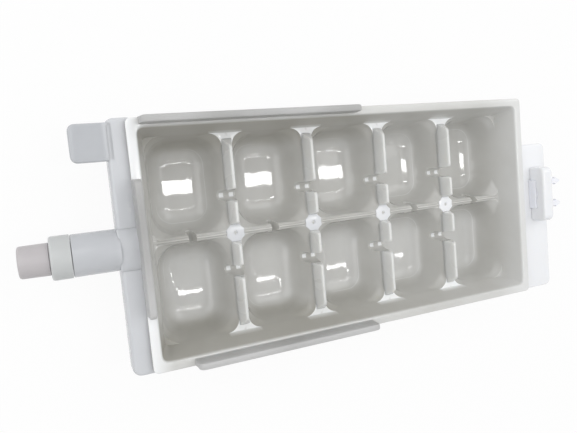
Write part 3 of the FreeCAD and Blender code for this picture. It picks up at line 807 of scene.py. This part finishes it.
# %% Every piece on its body, in place of its solid
tray_pieces = (cell_block, cross_blades, posts, guards, front_end, rear_end)
for piece in tray_pieces:
    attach(piece, "tray")
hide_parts("ice_tray")
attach(axle_pin, "tray")
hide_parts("axle_pin")
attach(axle_bush, "bush")
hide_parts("axle_bush")
print(len(tray_pieces) + 1, "new pieces on the tray, 1 on the bush")

# %% [markdown]
# ## Shader maths
# A finish that changes from place to place is a sum of masks, and drawn by hand it would be
# dozens of Math nodes.  A socket is wrapped instead, so that an expression such as 1 - mask
# writes its own nodes.

# %% Sockets as numbers


class Sock:
    """One output of a node tree; arithmetic on it adds Math nodes."""

    def __init__(self, tree, out):
        self.tree, self.out = tree, out

    def node(self, kind, settings=(), inputs=(), out=0):
        """Adds a node: its settings first, then its sockets from numbers or other Socks."""
        made = self.tree.nodes.new(kind)
        for key, value in dict(settings).items():
            setattr(made, key, value)
        for key, value in dict(inputs).items():
            if isinstance(value, Sock):
                self.tree.links.new(value.out, made.inputs[key])
            else:
                made.inputs[key].default_value = value
        return Sock(self.tree, made.outputs[out])

    def maths(self, how, *values):
        """A Math node on the given values."""
        return self.node("ShaderNodeMath", {"operation": how}, dict(enumerate(values)))

    def __add__(self, other):
        return self.maths("ADD", self, other)

    def __sub__(self, other):
        return self.maths("SUBTRACT", self, other)

    def __rsub__(self, other):
        return self.maths("SUBTRACT", other, self)

    def __mul__(self, other):
        return self.maths("MULTIPLY", self, other)

    __radd__, __rmul__ = __add__, __mul__

    def axis(self, k):
        """One coordinate of a place."""
        return self.node("ShaderNodeSeparateXYZ", {}, {0: self}, k)

    def noise(self, scale, detail=2.0):
        """Soft noise over the place, with about scale blotches to a metre."""
        return self.node("ShaderNodeTexNoise", {},
                         {"Vector": self, "Scale": scale, "Detail": detail})

    def smooth(self, low, high, start=0.0, stop=1.0):
        """Smooth step from start to stop between two values."""
        return self.node("ShaderNodeMapRange", {"interpolation_type": "SMOOTHSTEP"},
                         {0: self, 1: low, 2: high, 3: start, 4: stop})

    def step(self, low, high, start=0.0, stop=1.0):
        """Smooth step between two places, in millimetres."""
        return self.smooth(low * mm, high * mm, start, stop)

    def band(self, a, b, c, d):
        """1 between b and c millimetres, fading to 0 at a and at d."""
        return self.step(a, b) * self.step(c, d, 1, 0)

    def mix(self, dark, light):
        """Colour between two others, by this share; 6, 7 and output 2 are a Mix node's
        colour sockets."""
        return self.node("ShaderNodeMix", {"data_type": "RGBA"},
                         {0: self, 6: (*dark, 1), 7: (*light, 1)}, 2)


def finish(name, constants, varying):
    """A material: constants go on the Principled shader's sockets, varying(place) returns
    the sockets that change over the surface."""
    made = bpy.data.materials.new(name)
    made.use_nodes = True
    tree = made.node_tree
    shader = tree.nodes["Principled BSDF"]
    for key, value in constants.items():
        shader.inputs[key].default_value = value
    place = Sock(tree, tree.nodes.new("ShaderNodeTexCoord").outputs["Object"])
    for key, value in varying(place).items():
        tree.links.new(value.out, shader.inputs[key])
    print("finish", name, "with", len(tree.nodes), "nodes")
    return made


def bump(place, height, strength, distance):
    """The surface's normal, tilted as if the height stood out by up to the distance."""
    return place.node("ShaderNodeBump", {},
                      {"Strength": strength, "Distance": distance, "Height": height})


# %% [markdown]
# ## Milky polypropylene
# Natural polypropylene lets light into its first few millimetres and out again, which makes
# thin walls glow and deep corners turn warm grey.  Glass-like transmission would show clear
# walls, so Subsurface scattering does it; clouds of a slightly warmer tone, uneven gloss and
# a faint orange-peel keep it from looking ideal.

# %% One milky finish for all the plastics


def milky(name, dark, light, rough=(0.16, 0.26), peel=0.04, radius=0.0012, weight=0.4, grain=0.0,
          cloud=0.16, tone=None, satin=0.0):
    """Milky plastic: tone(place) gives the share of the light colour, clouds and fine flow
    marks shift it, grain trades the soft orange-peel for a fine frosted one, and satin
    roughens the surface up to the flats."""
    def varying(place):
        drift = place.noise(22).smooth(0.3, 0.7) * cloud + place.noise(160) * 0.08
        share = drift + (tone(place) if tone else 0.55 - cloud / 2)
        gloss = place.noise(60).smooth(0.3, 0.75, rough[0], rough[1])
        if satin:
            gloss = gloss + place.axis(2).step(flats - 8, flats - 1) * satin
        relief = place.noise(260, 1) * (1 - grain) + place.noise(2400, 3) * grain
        return {"Base Color": share.mix(dark, light), "Roughness": gloss,
                "Normal": bump(place, relief, peel, 0.0003)}
    return finish(name, {"Subsurface Weight": weight, "Subsurface Radius": (1.0, 0.97, 0.92),
                         "Subsurface Scale": radius, "IOR": 1.49}, varying)


# %% [markdown]
# Light and shade are painted into the cell block's colour.  It is greyest in its thin lower
# walls, with painted light on the floors, more in the lower row, and up the rear wall, painted
# glare on the flats at the side walls, painted highlights in the water ways and on the rim,
# and painted shade on the walls behind the side guards.  A faint broken seam runs round
# each cup above its floor, where the parts of the mould's core meet.

# %% Painted light and shade of the cell block
seam_z = flats - 14.7
block_end = 66                  # from the middle; no way lies further out


def seam_tone(place, height):
    """A thin line round each cup, broken by clouds."""
    line = height.band(seam_z - 0.2, seam_z, seam_z, seam_z + 0.2)
    return line * place.noise(30, 1).smooth(0.50, 0.66)


def painted_way_highlights(x, side, height):
    """Two painted highlights in each water way, one at either face of its divider.  The distance
    from the nearest divider is a zigzag along X, a ping-pong of half a pitch."""
    past = x - (mid_x + pitch / 2) * mm
    from_div = past.maths("PINGPONG", past, pitch / 2 * mm)
    inside = x.maths("COMPARE", x, mid_x * mm, block_end * mm)
    spot = from_div.band(1.1, 1.5, 2.9, 3.4)
    spot = spot * side.band(way_y - 1.2, way_y - 0.7, way_y + 0.6, way_y + 1.1)
    return spot * height.band(flats - 10, flats - 9, flats - 6, flats - 5) * inside


def cell_tone_and_painted_light(place):
    """Share of the light colour: a base, plus painted light on the floors and the rear wall,
    painted highlights on the rim and in the ways, painted glare on the flats at the side walls,
    and the seam line, less painted shade behind the side guards."""
    x, y, height = (place.axis(k) for k in range(3))
    side = y.maths("ABSOLUTE", y)
    foot_z = flats - depth
    # painted light: the floors are lighter, the lower row's more than the upper's
    floors = height.step(foot_z + 0.1, foot_z + 4, 1, 0) * y.step(-15, 15, 0.17, 0.06)
    # painted highlight: the rim is lighter all round, much more at the front end
    rim = height.step(rim_top - 1.6, rim_top - 0.2)
    front = x.step(mid_x - rim_x, mid_x - end_x + 2, 1, 0)
    # painted light: the rear wall lightens towards its top
    rear = x.step(mid_x + end_x - 20, mid_x + end_x + 3) * height.step(-12, 6)
    flat = place.node("ShaderNodeAttribute", {"attribute_name": "painted_flat_glare"}, {}, 2)
    # painted shade on the walls behind the side guards
    shade = side.step(33, 40) * x.step(mid_x - 20, mid_x + 50, 1, 0) * (1 - rim)
    light = floors + rim * (front * 0.5 + 0.14) + rear * 0.25 + flat * 0.8
    # painted highlights in the water ways
    light = light + painted_way_highlights(x, side, height) * 0.9 + seam_tone(place, height) * 0.22
    return light + 0.19 - shade * 0.30


tray_plastic = milky("milky_polypropylene", (0.42, 0.41, 0.375), (0.88, 0.892, 0.90), (0.02, 0.04),
                     peel=0.02, cloud=0.11, tone=cell_tone_and_painted_light, satin=0.13)

# %% Painted light on the two ends


def end_tone_and_painted_light(place):
    """Painted light: the colour lightens towards the drive end, the hub's face has a painted
    glow, the plate has painted light, and the tab is darker."""
    x, y, height = (place.axis(k) for k in range(3))
    on_plate = x.step(22, 26)
    on_tab = (1 - on_plate) * y.step(24, 30)
    on_hub = height.step(plate_top + 1, plate_top + 4) * x.step(200, 210)
    # painted light towards the drive end and on the plate, a painted glow on the hub; the tab darker
    return x.step(30, 230) * 0.64 + on_plate * 0.16 - on_tab * 0.2 + on_hub * 0.35 + 0.16


end_plastic = milky("milky_polypropylene_ends", (0.44, 0.455, 0.48), (0.84, 0.85, 0.87),
                    cloud=0.13, tone=end_tone_and_painted_light)

# %% Plastics of one tone
# The blades' grey is painted lighter than the cells' walls: painted light.
fin_plastic = milky("milky_polypropylene_fins", (0.54, 0.545, 0.53), (0.72, 0.725, 0.72),
                    (0.22, 0.34), peel=0.02, radius=0.004, weight=1.0)
# The guards' darker grey is painted shade; their roughness and grain are the frosted finish.
guard_plastic = milky("frosted_polypropylene_painted_shade", (0.24, 0.24, 0.23), (0.60, 0.60, 0.60),
                      (0.3, 0.5), peel=0.6, grain=0.8, cloud=0.4)
pin_plastic = milky("axle_plastic", (0.44, 0.42, 0.43), (0.56, 0.535, 0.545), (0.3, 0.42), peel=0.12)
bush_plastic = milky("bush_plastic", (0.48, 0.495, 0.495), (0.60, 0.615, 0.615), (0.28, 0.38),
                     peel=0.10)
insert_plastic = milky("insert_plastic", (0.80, 0.81, 0.86), (0.90, 0.91, 0.96), (0.25, 0.35))
shell_plastic = milky("sensor_shell", (0.64, 0.64, 0.62), (0.76, 0.76, 0.74), (0.35, 0.5),
                      peel=0.2, radius=0.0005)
cover_plastic = milky("cover_plastic", (0.74, 0.74, 0.74), (0.84, 0.84, 0.84), (0.35, 0.45),
                      peel=0.15)

# %% [markdown]
# The pad under the sensor is closed-cell foam.  Its cells are far too small to model, so a
# Voronoi pattern darkens the skin between them and dents it a little.

# %% Foam


def foam_finish(place):
    """Dark grey that lightens with the distance from each cell's centre."""
    cells = place.node("ShaderNodeTexVoronoi", {}, {"Vector": place, "Scale": 1400})
    return {"Base Color": cells.smooth(0.0, 0.5).mix((0.10, 0.10, 0.10), (0.17, 0.17, 0.175)),
            "Normal": bump(place, cells, 0.5, 0.0003)}


foam = finish("closed_cell_foam", {"Roughness": 0.85}, foam_finish)

# %% Finishes on the pieces and on the solids
for piece, material in ((cell_block, tray_plastic), (cross_blades, fin_plastic),
                        (posts, end_plastic), (front_end, end_plastic), (rear_end, end_plastic),
                        (guards, guard_plastic), (axle_pin, pin_plastic), (axle_bush, bush_plastic)):
    piece.data.materials.append(material)
for node, material in (("drive_insert", insert_plastic), ("sensor", shell_plastic),
                       ("sensor_pad", foam), ("sensor_cover", cover_plastic),
                       ("ice_tray", tray_plastic), ("axle_pin", pin_plastic),
                       ("axle_bush", bush_plastic)):
    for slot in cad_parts[node].material_slots:
        slot.material = material
print(len(bpy.data.materials), "materials")

# %% [markdown]
# ## Floor, background and light
# The tray stands on the feet of its cups on a pale floor.  The floor and the sky are white
# to the camera and in reflections, and grey-white as light, so the background is clean and
# the floor keeps the tray's shadow.

# %% Floor
floor_half = 3
floor_z = (flats - depth - wall - 0.05) * mm        # a hair below the feet, so no faces coincide
floor_corners = [(sx * floor_half, sy * floor_half, floor_z)
                 for sx, sy in ((-1, -1), (1, -1), (1, 1), (-1, 1))]
floor = bpy.data.objects.new("floor", bpy.data.meshes.new("floor"))
floor.data.from_pydata(floor_corners, [], [(0, 1, 2, 3)])
bpy.context.scene.collection.objects.link(floor)
floor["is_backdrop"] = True
print("floor at", round(floor_z, 5))

# %% White to view, grey as light


def white_to_view(tree):
    """1 for rays that show the background: from the camera, in gloss and through clear."""
    path = tree.nodes.new("ShaderNodeLightPath")
    seen = Sock(tree, path.outputs["Is Camera Ray"])
    for kind in ("Is Glossy Ray", "Is Transmission Ray"):
        seen = seen.maths("MAXIMUM", seen, Sock(tree, path.outputs[kind]))
    return seen


paper = bpy.data.materials.new("pale_floor")
paper.use_nodes = True
tree = paper.node_tree
pale = tree.nodes["Principled BSDF"]
pale.inputs["Base Color"].default_value = (0.82, 0.82, 0.82, 1)
pale.inputs["Roughness"].default_value = 0.9
glow = tree.nodes.new("ShaderNodeEmission")
mixed = tree.nodes.new("ShaderNodeMixShader")
tree.links.new((white_to_view(tree) * 0.93).out, mixed.inputs[0])
tree.links.new(pale.outputs[0], mixed.inputs[1])
tree.links.new(glow.outputs[0], mixed.inputs[2])
tree.links.new(mixed.outputs[0], tree.nodes["Material Output"].inputs[0])
floor.data.materials.append(paper)

sky = bpy.data.worlds.new("studio")
bpy.context.scene.world = sky
sky.use_nodes = True
tree = sky.node_tree
ambient = 0.58
strength = white_to_view(tree) * (1 - ambient) + ambient
tree.links.new(strength.out, tree.nodes["Background"].inputs["Strength"])
tree.nodes["Background"].inputs["Color"].default_value = (1, 1, 1, 1)
print("sky gives", ambient, "of the light it shows")

# %% [markdown]
# One wide tube and a row of short thin ones hang a metre above the table, and leave bright
# bars in the flat floors of the cups, without which their gloss wouldn't show.  Large soft
# lamps on either side give the cups their round shading without a mark of their own.

# %% Lamps


def lamp(name, centre, aim, width, height, radiance):
    """Rectangular lamp of a given brightness: power = radiance * area * pi."""
    data = bpy.data.lights.new(name, "AREA")
    data.shape, data.size, data.size_y = "RECTANGLE", width, height
    data.energy = radiance * width * height * pi
    made = bpy.data.objects.new(name, data)
    made.location = centre
    made.rotation_euler = (Vector(aim) - Vector(centre)).to_track_quat("-Z", "Y").to_euler()
    bpy.context.scene.collection.objects.link(made)


middle = (mid_x * mm, 0, -0.01)
lamp("key", (0.75, 0.45, 0.85), middle, 0.8, 0.8, 1.4)
lamp("fill", (-0.40, 0.20, 0.55), middle, 0.8, 0.8, 1.25)
ceiling, tube_radiance = 1.0 + floor_z, 25
over = ((0.15, 0.70),)          # where the tubes begin and end along X
beside = ((0.213, 0.301), (0.388, 0.467), (0.597, 0.676), (0.813, 0.866), (1.026, 1.052))
for name, across, width, spans in (("tube_over", 0.0015, 0.030, over),
                                   ("tube_beside", -0.239, 0.009, beside)):
    for n, (low, high) in enumerate(spans):
        x = (low + high) / 2
        lamp(f"{name}_{n + 1}", (x, across, ceiling), (x, across, 0), high - low, width,
             tube_radiance)
print(len(over) + len(beside), "tubes and 2 soft lamps")

# %% [markdown]
# ## Camera and sizes
# The camera looks down on the front end from close by, turned a little so that the tray
# runs up to the right.  Its place, the way it looks and its upright are given as vectors,
# since three turning angles would say less.  At the end the box round the finished tray is
# printed.

# %% Camera
cam = bpy.data.objects.new("camera", bpy.data.cameras.new("camera"))
bpy.context.scene.collection.objects.link(cam)
bpy.context.scene.camera = cam
cam.data.sensor_width, cam.data.lens, cam.data.clip_start = 36, 34.116, 0.01
eye = Vector((0.00568, 0.02541, 0.21441))
look, up = Vector((0.38098, -0.0912, -0.92007)), Vector((0.11909, 0.99167, -0.04899))
right = look.cross(up).normalized()
turned_to = Matrix((right, right.cross(look), -look)).transposed()
cam.matrix_world = Matrix.Translation(eye) @ turned_to.to_4x4()
print("camera", round(eye.z - floor_z, 3), "above the floor")

# %% View settings and sizes
bpy.context.scene.view_settings.view_transform = "Standard"
low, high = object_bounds()
print("visual from", [round(v, 4) for v in low], "to", [round(v, 4) for v in high])
